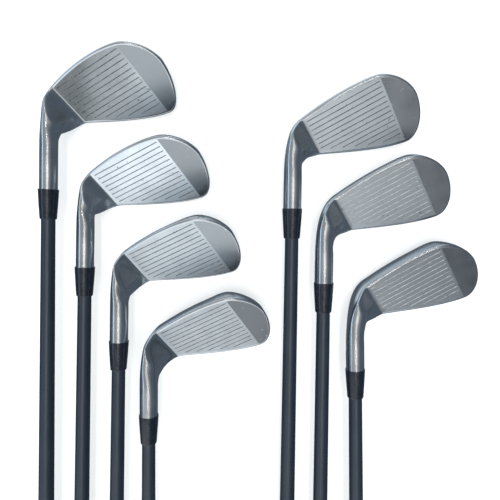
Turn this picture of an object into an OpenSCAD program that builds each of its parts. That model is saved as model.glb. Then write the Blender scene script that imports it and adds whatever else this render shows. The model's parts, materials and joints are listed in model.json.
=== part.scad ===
// Seven golf irons, pitching wedge to 4-iron, lying face up on the ground in two staggered rows.
// Each club is drawn along its own shaft, then laid down:
//   its origin is the end of the hosel, +Y runs down the hosel to the sole,
//   +X points to the toe, and +Z is the way the ball leaves, which is up when the club lies on its back.
// The whole set has +Z up, the ground at z = 0, the heads at +Y and the grips at -Y.

/* [Heads] */
// Distance between neighbouring score lines
groove_pitch = 3.7; // [3.3:0.05:4]
// Length of a full score line
groove_length = 53.5; // [48:0.5:56]
// Width of the sole from front to back
sole_width = 18.5; // [15:0.5:21]
// Thickness of the topline
topline_t = 5.8; // [4:0.1:8]
// Thickness of the toe's rim
toe_t = 8; // [7:0.5:12]
// Thickness of the hitting plate in front of the cavity
plate_t = 3.4; // [2.8:0.1:5]
// Rounding of the leading edge, topline and toe
edge_r = 2.4; // [1.5:0.1:3]
// Roundness of the sole from front to back
sole_camber = 1.1; // [0.5:0.1:2]
// Bounce, the sole's tilt to the ground
bounce = 5; // [2:0.5:9]
// Radius of the crotch between the hosel and the topline
crotch_r = 9.6; // [8:0.1:12]
// Depth of the shaft's socket in the hosel
socket_depth = 31; // [28:0.5:34]

/* [Shafts] */
// Diameter of the shaft's parallel tip
tip_d = 9.4; // [9:0.1:9.6]
// Length of the shaft's parallel tip
tip_parallel = 45; // [40:5:80]
// Diameter of the shaft's butt
butt_d = 15.2; // [14.6:0.1:15.6]
// Bore of the shaft at its tip
tip_bore_d = 4.4; // [3.6:0.1:5]
// Wall of the shaft at its butt
butt_wall = 1.25; // [1:0.05:1.6]
// Radial gap that the glue fills in each joint
glue_gap = 0.05; // [0.03:0.01:0.1]

/* [Ferrules] */
// Length of a ferrule
ferrule_l = 21; // [18:0.5:25]
// Diameter at the hosel end
ferrule_d = 13.8; // [13:0.1:14.2]
// Diameter at the shaft end
ferrule_end_d = 11.4; // [11:0.1:12]

/* [Grips] */
// Length of a grip without its end cap
grip_l = 264; // [255:1:270]
// Diameter of the grip's mouth
grip_mouth_d = 18.6; // [17.6:0.1:20]
// Diameter of the grip beside its end cap
grip_butt_d = 26; // [25:0.1:26.4]
// Diameter of the end cap
cap_d = 26.4; // [26:0.1:27]
// Thickness of the end cap's rubber
cap_t = 5; // [4:0.5:6]
// Radius of the vent hole in the end cap
vent_r = 1.8; // [1.5:0.1:2.2]
// Thickness of the tape under the grip
tape_t = 0.3; // [0.2:0.05:0.4]

/* [Hidden] */
// One row for each club: name, club length, loft, lie, hosel diameter,
// heel end of the first score line from the hosel's end (across, along, above),
// hosel end on the ground (x, y), turn about the vertical, and roll about the shaft.
CLUBS = [
    ["pw", 902, 46.0, 64.2, 12.2, [4.4, 68.95, -2.5], [-150, 14.65], -3.0, -18.6],
    ["iron9", 914, 41.1, 64.1, 12.3, [4.9, 64.5, -2.7], [-126.4, -40], -2.85, -16.2],
    ["iron8", 927, 36.3, 62.7, 12.7, [3.1, 61.15, -6.6], [-102.2, -92.55], -2.45, -12.7],
    ["iron7", 940, 32.5, 62.0, 12.8, [5.5, 57.2, -8.5], [-81, -145.3], -1.5, -8.1],
    ["iron6", 952, 32.2, 62.8, 12.6, [8.3, 59.5, -4.0], [20.5, 1.2], -0.5, -12.8],
    ["iron5", 965, 26.5, 61.2, 12.8, [9.9, 56.8, -6.8], [42.7, -50.5], 0.0, -9.5],
    ["iron4", 978, 23.2, 60.8, 12.9, [11.9, 56.4, -5.9], [66, -112.5], 1.65, -6.4]
];
PIECES = ["head", "ferrule", "shaft", "tip_plug", "grip_tape", "grip", "butt_cap"];

// Moves the whole set so that the origin is at the middle of its footprint
set_shift = [26.8, 460.1];

function name_of(i) = CLUBS[i][0];
function length_of(i) = CLUBS[i][1];
function loft_of(i) = CLUBS[i][2];
function lie_of(i) = CLUBS[i][3];
function hosel_r_of(i) = CLUBS[i][4] / 2;
function groove_start(i) = CLUBS[i][5];
function spot_of(i) = CLUBS[i][6] + set_shift;
function yaw_of(i) = CLUBS[i][7];
function roll_of(i) = CLUBS[i][8];
// Every head grows in even steps from the 4-iron, step 0, to the pitching wedge, step 6
function step_of(i) = len(CLUBS) - 1 - i;

// --- Numbers that shape the head's mesh
face_n = 9;
round_n = 3;
rim_mid_n = 3;
back_n = 9;
rim_n = 2 * round_n + rim_mid_n;
ring_n = face_n + 2 * rim_n + back_n;
blade_rings = 15;
slide_rings = 2;
fan_rings = 7;
sweep_rings = 3;
// Share of the blade's stations that lies before the toe's round part
straight_share = 0.68;
// Edge of the hitting area at the heel, measured from the score lines' heel end
heel_line = -1.9;
// How far the toe's rim leans inwards, for each millimetre behind the face
toe_lean = 0.25;
// Share of the sole's lean that is lost towards the toe
toe_relief = 0.16;
// Squareness of the neck's outer bend
neck_sharp = 8;
// How much sooner the crotch side turns round than the outer side
crotch_hurry = 1.6;
// Length over which the neck becomes a round hosel
sweep_l = 13;
// Height of the toe's outermost point on the face
toe_height = 21;
// Place of the shaft's tip in the hosel's socket
shaft_tip_y = socket_depth - 1.5;
// Length of the tape under a grip
tape_l = 255;

// --- Small functions
function lerp(a, b, u) = a + (b - a) * u;
function ease(u) = let (c = min(1, max(0, u))) c * c * (3 - 2 * c);
function unit(v) = v / norm(v);
function bezier(p, u) = let (w = 1 - u)
    w * w * w * p[0] + 3 * w * w * u * p[1] + 3 * w * u * u * p[2] + u * u * u * p[3];
function bezier_slope(p, u) = let (w = 1 - u)
    w * w * (p[1] - p[0]) + 2 * w * u * (p[2] - p[1]) + u * u * (p[3] - p[2]);
function rot_x(p, a) = [p[0], p[1] * cos(a) - p[2] * sin(a), p[1] * sin(a) + p[2] * cos(a)];
function rot_y(p, a) = [p[0] * cos(a) + p[2] * sin(a), p[1], -p[0] * sin(a) + p[2] * cos(a)];

// --- Directions on a head: along the score lines to the toe, straight up at address,
// up the face, and square out of the face
function toe_dir(i) = [sin(lie_of(i)), cos(lie_of(i)), 0];
function up_dir(i) = [cos(lie_of(i)), -sin(lie_of(i)), 0];
function face_up(i) = cos(loft_of(i)) * up_dir(i) - sin(loft_of(i)) * [0, 0, 1];
function face_out(i) = cos(loft_of(i)) * [0, 0, 1] + sin(loft_of(i)) * up_dir(i);
function on_face(i, t, v, n) = groove_start(i) + t * toe_dir(i) + v * face_up(i) + n * face_out(i);

// --- Face outline, (along, up) from the first score line's heel end
function top_heel(i) = 25.4 + 0.87 * step_of(i);
function top_peak(i) = 46.9 + 1.27 * step_of(i);
function toe_reach(i) = 72.4 + 0.2 * step_of(i);
function leading_curve(i) = let (sag = 0.2 * step_of(i))
    [[heel_line, -4.2], [15, -6.3 - sag], [38, -8 - sag], [54, -4.4]];
function low_toe_curve(i) = [[54, -4.4], [61.3, -2.4], [toe_reach(i) - 0.6, 8], [toe_reach(i), toe_height]];
function topline_curve(i) = let (rise = 0.45 + 0.015 * step_of(i))
    [[heel_line, top_heel(i)], [15, top_heel(i) + 16.9 * rise], [38, top_peak(i) - 2.5], [54.5, top_peak(i)]];
function high_toe_curve(i) = [[54.5, top_peak(i)], [64, top_peak(i) + 1.8],
    [toe_reach(i), 37], [toe_reach(i), toe_height]];

// Station s runs from 0 at the heel line to 1 at the toe's tip
function part_of(s) = s <= straight_share ? s / straight_share : (s - straight_share) / (1 - straight_share);
function low_curve(i, s) = s <= straight_share ? leading_curve(i) : low_toe_curve(i);
function high_curve(i, s) = s <= straight_share ? topline_curve(i) : high_toe_curve(i);
// Outward direction on the outline; at the heel line it has no share along the score lines
function outward(slope, side, s) = let (n = side * [-slope[1], slope[0]])
    unit([n[0] * ease(s / 0.1), n[1]]);

// --- Rim: how far it lies outside the outline and how deep, from the face (0) to the back (1)
function rim_point(j, depth) =
    j <= round_n ? let (a = 90 * j / round_n) [-edge_r * (1 - sin(a)), edge_r * (1 - cos(a))]
    : j >= rim_n - round_n ? let (a = 90 * (rim_n - j) / round_n)
        [-edge_r * (1 - sin(a)), depth - edge_r * (1 - cos(a))]
    : [0, lerp(edge_r, depth - edge_r, (j - round_n) / rim_mid_n)];
function toe_share(s) = ease((s - straight_share * 0.9) / (1 - straight_share * 0.9));
function low_depth(i, s) = lerp(sole_width * cos(loft_of(i) - bounce), toe_t, toe_share(s));
function high_depth(s) = lerp(topline_t, toe_t, toe_share(s));
// Behind the leading edge the sole runs back and inwards, and less so as it turns up the toe
function rim_lean(i, s, down) = tan(loft_of(i) - bounce) * down * (1 - toe_relief * ease((s - 0.45) / 0.25))
    + toe_lean * (1 - down) * toe_share(s);
// A rim point as (along, up, out of the face)
function rim(i, s, j, low) =
    let (curve = low ? low_curve(i, s) : high_curve(i, s),
         out = outward(bezier_slope(curve, part_of(s)), low ? -1 : 1, s),
         depth = low ? low_depth(i, s) : high_depth(s),
         down = low ? -out[1] : 0,
         od = rim_point(j, depth),
         camber = low ? sole_camber * down * sin(180 * od[1] / depth) : 0,
         p = bezier(curve, part_of(s)) + out * (od[0] + camber - rim_lean(i, s, down) * od[1]))
    [p[0], p[1], -od[1]];

// --- Back: a cavity between the sole's muscle and the topline
function cavity(x, s) = ease((x - 0.2) / 0.14) * ease((0.96 - x) / 0.1)
    * ease((s - 0.02) / 0.1) * ease((0.93 - s) / 0.16);
function back_point(i, s, x) =
    let (p = lerp(rim(i, s, rim_n, true), rim(i, s, rim_n, false), x))
    [p[0], p[1], lerp(p[2], -plate_t, cavity(x, s))];

// --- One ring of the blade: face from top to bottom, sole, back from bottom to top, topline
function blade_ring(i, s) = concat(
    [for (j = [0 : face_n - 1]) lerp(rim(i, s, 0, false), rim(i, s, 0, true), j / face_n)],
    [for (j = [0 : rim_n - 1]) rim(i, s, j, true)],
    [for (j = [0 : back_n - 1]) back_point(i, s, j / back_n)],
    [for (j = [rim_n : -1 : 1]) rim(i, s, j, false)]);
function blade_points(i, s) = [for (p = blade_ring(i, s)) on_face(i, p[0], p[1], p[2])];
// The blade closes on one line of points round the toe's tip
function toe_points(i) = [for (j = [0 : rim_n]) let (p = rim(i, 1, j, true)) on_face(i, p[0], p[1], p[2])];

// --- Neck: planes that all hold the +Z direction, fanned round a pivot beside the crotch
// Angle round the hosel that each ring point ends at, from the crotch side over the front
function hosel_angle(k) =
    k < face_n ? lerp(20, 145, k / face_n)
    : k < face_n + rim_n ? lerp(145, 225, (k - face_n) / rim_n)
    : k < face_n + rim_n + back_n ? lerp(225, 340, (k - face_n - rim_n) / back_n)
    : lerp(340, 380, (k - face_n - rim_n - back_n) / rim_n);
// Share of the front, which leaves the face at a crease along the heel line
function front_share(k) =
    k <= face_n ? 1
    : k <= face_n + round_n ? 1 - ease((k - face_n) / round_n)
    : k >= ring_n - round_n ? ease((k - ring_n + round_n) / round_n) : 0;

// Height of a point at address, above the end of the hosel
function up_height(i, p) = p * up_dir(i);
function heel_ring(i) = blade_points(i, 0);
function top_slope(i) = let (d = bezier_slope(topline_curve(i), 0)) d[1] / d[0] * cos(loft_of(i));
// Place along the score lines of the circle that touches the hosel's inner side and the topline
function pivot_t(i) =
    let (top = on_face(i, heel_line, top_heel(i), 0), m = top_slope(i), g = groove_start(i) * toe_dir(i))
    (hosel_r_of(i) + crotch_r - toe_dir(i)[0] * g
        - up_dir(i)[0] * (up_height(i, top) - heel_line * m + crotch_r * sqrt(1 + m * m)))
    / (toe_dir(i)[0] + up_dir(i)[0] * m);
function top_line_at(i, t) = up_height(i, on_face(i, heel_line, top_heel(i), 0)) + (t - heel_line) * top_slope(i);
function pivot_up(i) = top_line_at(i, pivot_t(i)) + crotch_r * sqrt(1 + top_slope(i) * top_slope(i));
// Distance of a point along the score lines, from their heel end
function along(i, p) = (p - groove_start(i)) * toe_dir(i);
function pivot(i) = (groove_start(i) * toe_dir(i) + pivot_t(i)) * toe_dir(i) + pivot_up(i) * up_dir(i);

// Reach of the neck's outer side from the pivot, at an angle from +X
function outer_reach(i, a, drop) =
    let (x = pivot(i)[0] + hosel_r_of(i),
         side = function (b) pow(pow(cos(b) / x, neck_sharp)
             + pow(cos(lie_of(i) - b) / drop, neck_sharp), -1 / neck_sharp))
    side(a) * lerp(1, drop / side(lie_of(i)), pow(a / lie_of(i), 2));

// w falls from 1 at the blade to 0 on the round hosel; the front starts falling at once
function blade_weight(q, front) = let (c = min(1, max(0, q)))
    1 - c * c * (3 - 2 * c) - front * 0.9 * c * (1 - c) * (1 - c);
// A neck ring: origin of its plane, its inward direction, near and far reach, and progress q
function neck_ring(i, base, dir, near, far, q) =
    let (ring = heel_ring(i),
         ups = [for (p = ring) up_height(i, p)],
         low = min(ups), high = max(ups))
    [for (k = [0 : ring_n - 1])
        let (share = (ups[k] - low) / (high - low),
             w = blade_weight(q * lerp(1, crotch_hurry, share), front_share(k)),
             round_b = -(near + far) / 2 + (far - near) / 2 * cos(hosel_angle(k)),
             b = lerp(round_b, lerp(-far, -near, share), w),
             a = lerp(hosel_r_of(i) * sin(hosel_angle(k)), ring[k][2], w))
        [base[0] + dir[0] * b, base[1] + dir[1] * b, a]];
function neck_rings(i) =
    let (c = pivot(i), tp = pivot_t(i), lie = lie_of(i),
         ups = [for (p = heel_ring(i)) up_height(i, p)],
         drop = pivot_up(i) - min(ups),
         slide_l = max(0, heel_line - tp),
         fan_l = (crotch_r + hosel_r_of(i)) * lie * PI / 180,
         total = slide_l + fan_l + sweep_l)
    concat(
        [for (j = [1 : slide_rings]) if (slide_l > 0.5)
            let (t = heel_line - slide_l * j / (slide_rings + 1),
                 over = crotch_r * crotch_r - pow(t - tp, 2),
                 line = pivot_up(i) - top_line_at(i, t),
                 near = over > 0 && t - tp < crotch_r * sin(atan(top_slope(i))) ? sqrt(over) : line)
            neck_ring(i, c + (t - tp) * toe_dir(i), up_dir(i), near, drop, (heel_line - t) / total)],
        [for (j = [0 : fan_rings])
            let (a = lie * (1 - j / fan_rings))
            neck_ring(i, c, [cos(a), -sin(a), 0], crotch_r, outer_reach(i, a, drop),
                (slide_l + fan_l * j / fan_rings) / total)],
        [for (j = [1 : sweep_rings])
            neck_ring(i, c - [0, sweep_l * j / sweep_rings, 0], [1, 0, 0], crotch_r,
                crotch_r + 2 * hosel_r_of(i), (slide_l + fan_l + sweep_l * j / sweep_rings) / total)],
        [[for (k = [0 : ring_n - 1])
            [hosel_r_of(i) * cos(hosel_angle(k)), 0, hosel_r_of(i) * sin(hosel_angle(k))]]]);

// --- The head's skin, from the last blade ring beside the toe to the hosel's end
function head_rings(i) = concat(
    [for (j = [blade_rings - 1 : -1 : 0]) blade_points(i, j / blade_rings)], neck_rings(i));
function flat_list(rings) = [for (ring = rings) for (p = ring) p];
// Point of the toe's line that closes ring point k
function toe_match(k) =
    k <= face_n ? 0
    : k <= face_n + rim_n ? k - face_n
    : k <= face_n + rim_n + back_n ? rim_n
    : ring_n - k;
module head_skin(i) {
    rings = head_rings(i);
    count = len(rings);
    toe_at = count * ring_n;
    sides = [for (r = [0 : count - 2]) for (k = [0 : ring_n - 1])
        let (m = (k + 1) % ring_n, a = r * ring_n + k, b = r * ring_n + m)
        each [[a, b + ring_n, b], [a, a + ring_n, b + ring_n]]];
    toe = [for (k = [0 : ring_n - 1])
        let (m = (k + 1) % ring_n, a = toe_at + toe_match(k), b = toe_at + toe_match(m))
        each (a == b ? [[k, m, a]] : [[k, m, b], [k, b, a]])];
    end = [[for (k = [ring_n - 1 : -1 : 0]) (count - 1) * ring_n + k]];
    polyhedron(concat(flat_list(rings), toe_points(i)), concat(sides, toe, end));
}

// --- How a club lies: the lowest point of its head and the rim of its end cap touch the ground
// The sole's heel lies a little further from the hosel's end than the first score line
function sole_drop(i) = groove_start(i)[1] + 4;
function butt_y(i) = -(length_of(i) - sole_drop(i));
function head_low(i, pitch) = min([for (ring = head_rings(i)) for (p = ring)
    rot_x(rot_y(p, roll_of(i)), pitch)[2]]);
function pitch_for(i, height) = asin((height - cap_d / 2) / -butt_y(i));
function rest_height(i, pitch) = -head_low(i, pitch);
function rest_pitch(i) = pitch_for(i, rest_height(i, pitch_for(i, rest_height(i, 0.8))));
module lay(i) {
    pitch = rest_pitch(i);
    translate([spot_of(i)[0], spot_of(i)[1], rest_height(i, pitch)])
        rotate([0, 0, yaw_of(i)]) rotate([pitch, 0, 0]) rotate([0, roll_of(i), 0]) children();
}
// Draws a turned piece along +Y from its profile of (radius, distance)
module turned(profile) {
    rotate([-90, 0, 0]) rotate_extrude($fn = 64) polygon(profile);
}

// --- Pieces
module head(i) {
    color([0.56, 0.6, 0.64]) difference() {
        head_skin(i);
        translate([0, -1, 0]) rotate([-90, 0, 0])
            cylinder(h = socket_depth + 1, d = tip_d + 2 * glue_gap, $fn = 64);
    }
}
module ferrule(i) {
    bore = tip_d / 2 + glue_gap;
    lip = 0.8;
    color([0.07, 0.09, 0.13]) turned([
        [bore, -ferrule_l], [ferrule_end_d / 2 - lip, -ferrule_l],
        [ferrule_end_d / 2, -ferrule_l + lip], [ferrule_d / 2, -0.3],
        [ferrule_d / 2 - 0.3, 0], [bore, 0]]);
}
module shaft(i) {
    butt = butt_y(i) + cap_t + 1;
    taper_to = butt + 40;
    color([0.16, 0.19, 0.23]) turned([
        [tip_bore_d / 2, shaft_tip_y], [tip_d / 2 - 0.4, shaft_tip_y], [tip_d / 2, shaft_tip_y - 0.4],
        [tip_d / 2, shaft_tip_y - tip_parallel], [butt_d / 2, taper_to], [butt_d / 2, butt],
        [butt_d / 2 - butt_wall, butt], [butt_d / 2 - butt_wall, taper_to]]);
}
module tip_plug(i) {
    collar_t = 1;
    stem_l = 14;
    stem_r = tip_bore_d / 2 - glue_gap;
    color([0.72, 0.6, 0.32]) turned([
        [0, shaft_tip_y - stem_l], [stem_r, shaft_tip_y - stem_l], [stem_r, shaft_tip_y + glue_gap],
        [tip_d / 2 - 0.4, shaft_tip_y + glue_gap], [tip_d / 2 - 0.4, shaft_tip_y + collar_t],
        [0, shaft_tip_y + collar_t]]);
}
// Radius of the shaft at a distance above its butt
function shaft_r(i, up) = let (span = -butt_y(i) - cap_t - 1 - 40 + shaft_tip_y - tip_parallel)
    butt_d / 2 - (butt_d - tip_d) / 2 * max(0, up - 40) / span;
module grip_tape(i) {
    butt = butt_y(i) + cap_t + 2;
    color([0.78, 0.72, 0.58]) turned([
        [shaft_r(i, 0) + 0.02, butt], [shaft_r(i, 0) + 0.02 + tape_t, butt],
        [shaft_r(i, 0) + 0.02 + tape_t, butt + 38],
        [shaft_r(i, tape_l) + 0.02 + tape_t, butt + tape_l], [shaft_r(i, tape_l) + 0.02, butt + tape_l],
        [shaft_r(i, 0) + 0.02, butt + 38]]);
}
module grip(i) {
    butt = butt_y(i) + cap_t + 0.05;
    inner = shaft_r(i, 0) + tape_t + 0.06;
    mouth_inner = shaft_r(i, grip_l) + tape_t + 0.06;
    color([0.1, 0.1, 0.11]) turned([
        [inner, butt], [grip_butt_d / 2, butt], [grip_butt_d / 2 - 1, butt + 35],
        [grip_mouth_d / 2 + 0.4, butt + grip_l - 12], [grip_mouth_d / 2, butt + grip_l - 2],
        [grip_mouth_d / 2 - 0.8, butt + grip_l], [mouth_inner, butt + grip_l], [inner, butt + 39]]);
}
module butt_cap(i) {
    bead = 1.2;
    color([0.12, 0.12, 0.13]) turned([
        [vent_r, butt_y(i)], [cap_d / 2 - bead, butt_y(i)], [cap_d / 2, butt_y(i) + bead],
        [cap_d / 2, butt_y(i) + cap_t - bead], [grip_butt_d / 2 - 0.2, butt_y(i) + cap_t],
        [vent_r, butt_y(i) + cap_t]]);
}

for (i = [0 : len(CLUBS) - 1]) {
    lay(i) head(i);
    lay(i) ferrule(i);
    lay(i) shaft(i);
    lay(i) tip_plug(i);
    lay(i) grip_tape(i);
    lay(i) grip(i);
    lay(i) butt_cap(i);
}
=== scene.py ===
"""Seven golf irons on a pale floor: heads, ferrules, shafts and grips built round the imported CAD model.

Shapes are worked out in millimetres in each club's own frame, as in the CAD: the origin is the hosel's
end, +Y runs down the hosel to the sole, +X points to the toe and +Z is the way the ball leaves.
"""
import json
import math

import bmesh
import bpy
import numpy as np
from mathutils import Matrix, Vector
from mathutils.geometry import delaunay_2d_cdt


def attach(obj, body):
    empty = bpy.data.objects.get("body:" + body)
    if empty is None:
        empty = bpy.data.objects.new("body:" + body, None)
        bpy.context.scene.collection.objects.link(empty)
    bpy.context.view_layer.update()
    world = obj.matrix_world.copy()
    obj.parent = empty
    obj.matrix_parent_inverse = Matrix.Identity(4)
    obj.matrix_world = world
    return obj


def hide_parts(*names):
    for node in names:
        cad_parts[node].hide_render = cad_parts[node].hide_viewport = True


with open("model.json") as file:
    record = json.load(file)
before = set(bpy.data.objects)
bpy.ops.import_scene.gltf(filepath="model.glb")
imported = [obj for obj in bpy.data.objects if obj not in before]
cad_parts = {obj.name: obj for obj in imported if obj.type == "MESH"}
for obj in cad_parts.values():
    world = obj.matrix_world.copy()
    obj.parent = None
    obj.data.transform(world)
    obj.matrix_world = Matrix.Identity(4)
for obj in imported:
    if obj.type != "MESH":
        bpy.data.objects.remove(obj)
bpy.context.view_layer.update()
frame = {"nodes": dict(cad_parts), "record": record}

MM = 0.001
MOUNTS = {m["name"]: m for m in frame["record"]["mounts"]}

# --- Score lines, in millimetres: a narrow lip, a wall and a flat bottom, kept clear of the topline
GROOVE_PITCH = 3.7
GROOVE_LENGTH = 53.5
GROOVE_WIDTH = 0.5
GROOVE_DEPTH = 0.5
GROOVE_LIP = 0.06
GROOVE_WALL = 0.05
GROOVE_LIP_DEPTH = 0.09
GROOVE_MARGIN = 2.3
SHORTEST_GROOVE = 6

# --- Blade, in millimetres and degrees; the heel and toe lines lie across the face
SOLE_WIDTH = 18.5
TOPLINE_T = 5.8
TOE_T = 8.0
PLATE_T = 3.4
EDGE_R = 2.4
TOE_EDGE_R = 1.3
SOLE_CAMBER = 1.1
BOUNCE = 5.0
TOE_HEIGHT = 21.0
HEEL_LINE = -1.9
TOE_LINE = 54.7
FACE_MARK = (27, 21)
# How far the rim leans in for each millimetre of depth at the toe, and how much less the sole does there
TOE_LEAN = 0.25
TOE_RELIEF = 0.16
TOE_RELIEF_FROM = 0.45
TOE_RELIEF_RUN = 0.25
# The back's cavity: where its two walls stand across and along the blade, and how wide each one is
CAVITY_ACROSS = ((0.2, 0.14), (0.96, 0.1))
CAVITY_ALONG = ((0.02, 0.1), (0.93, 0.16))

# --- Neck, from the heel line to the round hosel
# How far the heel's curve reaches up the hosel, and how sharp the curves at heel and crotch are
HEEL_REACH = 34.0
HEEL_BEND = 0.64
CROTCH_BEND = 0.66
RAIL_OVERRUN = 4.0
# How early the section turns round, how much later its heights do, and where the tube is at full height
NECK_HASTE = 0.5
WEB_DELAY = 0.8
TUBE_FADE = 0.3
# The steepest slope of the tube's flank, its slope beside a wide web, and the fillet between the two
STEEP_FLANK = 88.0
FLANK = 62.0
FILLET = 4.0
LEAST_FILLET = 0.01
# Rounds of smoothing and the share over which they set in, and how steeply the neck leaves the face
NECK_SMOOTH = 10
SMOOTH_RUN = 0.1
CREASE = math.radians(24)

# name, loft, lie, hosel diameter, heel end of the first score line (across, along, above), score lines,
# and the crotch: its reach along the topline, its reach down the hosel and how soon it rises
CLUBS = [
    ("pw", 46.0, 64.2, 12.2, (4.4, 68.95, -2.5), 14, (9, 18, 1.5)),
    ("iron9", 41.1, 64.1, 12.3, (4.9, 64.5, -2.7), 13, (5, 9, 1.9)),
    ("iron8", 36.3, 62.7, 12.7, (3.1, 61.15, -6.6), 13, (6, 13, 1.5)),
    ("iron7", 32.5, 62.0, 12.8, (5.5, 57.2, -8.5), 13, (6, 14, 1.45)),
    ("iron6", 32.2, 62.8, 12.6, (8.3, 59.5, -4.0), 13, (6, 12, 1.5)),
    ("iron5", 26.5, 61.2, 12.8, (9.9, 56.8, -6.8), 13, (6, 12, 1.5)),
    ("iron4", 23.2, 60.8, 12.9, (11.9, 56.4, -5.9), 13, (5, 10, 1.5)),
]

# How bright each hitting area and toe is: the steel's own brightness, with painted light in how much it
# differs from club to club
STEEL_AND_PAINTED_LIGHT_LEVELS = {"pw": (0.75, 0.34), "iron9": (0.96, 0.33), "iron8": (0.72, 0.38), "iron7": (0.57, 0.20),
        "iron6": (0.65, 0.34), "iron5": (0.61, 0.36), "iron4": (0.55, 0.33)}
BRIGHT_GROOVES = ("iron5", "iron4")
# The club whose face gets painted shade, darker towards the heel and the sole, and the shade's direction
# across the club and where it begins and ends, in metres
SHADED_CLUB = "pw"
SHADE_SLOPE = (0.9, -0.45, 0.0)
SHADE_FROM = -0.016
SHADE_TO = 0.027

# --- Mesh of a head
# Segments round a ring: over the face, over each edge rounding, between two of those, and over the back
FACE_N = 44
ROUND_N = 8
MID_N = 8
BACK_N = 48
RIM_N = 2 * ROUND_N + MID_N
RING_N = FACE_N + 2 * RIM_N + BACK_N
BACK_SPAN = range(FACE_N + RIM_N, FACE_N + RIM_N + BACK_N)
# Shares of the way along the blade: where its straight part ends, where its toe's shape sets in, by where
# the toe line crosses the edges, how soon the edges are square to the outline, and the closest rings
STRAIGHT_SHARE = 0.68
TOE_FROM = STRAIGHT_SHARE * 0.9
TOE_LINE_WITHIN = 0.8
HEEL_SQUARE = 0.1
CLOSEST_RINGS = 0.002
STRAIGHT_RINGS = 60
TOE_RINGS = 40
NECK_RINGS = 56
# The narrow strip of face beside each edge rounding, in millimetres and at most as a share of the face
HOLD = 0.25
MOST_HOLD = 0.3
RAIL_POINTS = 80
FINE_POINTS = 500


def lerp(a, b, u):
    return a + (b - a) * u


def ease(u):
    c = np.clip(u, 0, 1)
    return c * c * (3 - 2 * c)


def circle(radius, y, turn):
    """Points round the shaft's axis at the given angles."""
    return np.stack([radius * np.cos(turn), np.full(len(turn), y), radius * np.sin(turn)], 1)


def bezier(p, u):
    """Points of a cubic curve, and the direction it runs in, at each u."""
    p = np.asarray(p, float)
    u = np.asarray(u, float)[:, None]
    w = 1 - u
    at = w**3 * p[0] + 3 * w * w * u * p[1] + 3 * w * u * u * p[2] + u**3 * p[3]
    slope = w * w * (p[1] - p[0]) + 2 * w * u * (p[2] - p[1]) + u * u * (p[3] - p[2])
    return at, slope


class Club:
    """One club's angles, directions and place in the row."""

    def __init__(self, index, row):
        self.name, loft, lie, hosel_d, start, self.lines, self.crotch = row
        self.step = len(CLUBS) - 1 - index
        self.hosel_r = hosel_d / 2
        self.start = np.array(start, float)
        self.loft, self.lie = math.radians(loft), math.radians(lie)
        self.toe = np.array([math.sin(self.lie), math.cos(self.lie), 0])
        self.up = np.array([math.cos(self.lie), -math.sin(self.lie), 0])
        out = np.array([0, 0, 1])
        self.face_up = math.cos(self.loft) * self.up - math.sin(self.loft) * out
        self.face_out = math.cos(self.loft) * out + math.sin(self.loft) * self.up
        self.matrix = self.find_place()

    def find_place(self):
        """The club's level frame in the row and its tilt there, from its vent hole and flat face."""
        vent, face = MOUNTS[self.name + "_vent"], MOUNTS[self.name + "_face"]
        y = -Vector(vent["axis"]).normalized()
        n = Vector(face["axis"]).normalized()
        flat = n - n.dot(y) * y
        side = y.cross(flat)
        nx, nz = self.face_out[0], self.face_out[2]
        size = nx * nx + nz * nz
        x = (nx * flat + nz * side) / size
        z = (nz * flat - nx * side) / size
        turn = Matrix((x, y, z)).transposed()
        mark = self.on_face(np.array([[*FACE_MARK, 0]], float))[0]
        origin = Vector(face["pos_m"]) - turn @ Vector(mark * MM)
        self.butt_y = (Vector(vent["pos_m"]) - origin).dot(y) / MM
        up, heading = Vector((0, 0, 1)), Vector((y.x, y.y, 0)).normalized()
        level = Matrix((heading.cross(up), heading, up)).transposed()
        self.tilt = level.transposed() @ turn
        return Matrix.Translation(origin) @ level.to_4x4()

    def on_face(self, tvn):
        """Points given along the score lines, up the face and out of it, in the club's frame."""
        return self.start + tvn @ np.array([self.toe, self.face_up, self.face_out])

    def outline(self, low):
        """The straight and the toe part of the face's outline, below or above.

        They are curves from the heel line to the toe's tip, measured from the first score line's heel end.
        Each shorter club's face is taller and longer."""
        reach = 72.4 + 0.2 * self.step
        peak = 46.9 + 1.27 * self.step
        rise = 0.45 + 0.015 * self.step
        if low:
            sag = 0.2 * self.step
            return ([[HEEL_LINE, -4.2], [15, -6.3 - sag], [38, -8.0 - sag], [54, -4.4]],
                    [[54, -4.4], [61.3, -2.4], [reach - 0.6, 8], [reach, TOE_HEIGHT]])
        heel = 25.4 + 0.87 * self.step
        return ([[HEEL_LINE, heel], [15, heel + 16.9 * rise], [38, peak - 2.5], [54.5, peak]],
                [[54.5, peak], [64, peak + 1.8], [reach, 37], [reach, TOE_HEIGHT]])


def outline_at(club, s, low):
    """Outline points and outward directions at stations from 0, the heel line, to 1, the toe's tip."""
    straight, toe = club.outline(low)
    a, da = bezier(straight, np.minimum(s / STRAIGHT_SHARE, 1))
    b, db = bezier(toe, np.clip((s - STRAIGHT_SHARE) / (1 - STRAIGHT_SHARE), 0, 1))
    on_toe = (s > STRAIGHT_SHARE)[:, None]
    at, slope = np.where(on_toe, b, a), np.where(on_toe, db, da)
    side = -1 if low else 1
    out = side * np.stack([-slope[:, 1] * ease(s / HEEL_SQUARE), slope[:, 0]], 1)
    return at, out / np.linalg.norm(out, axis=1)[:, None]


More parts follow.
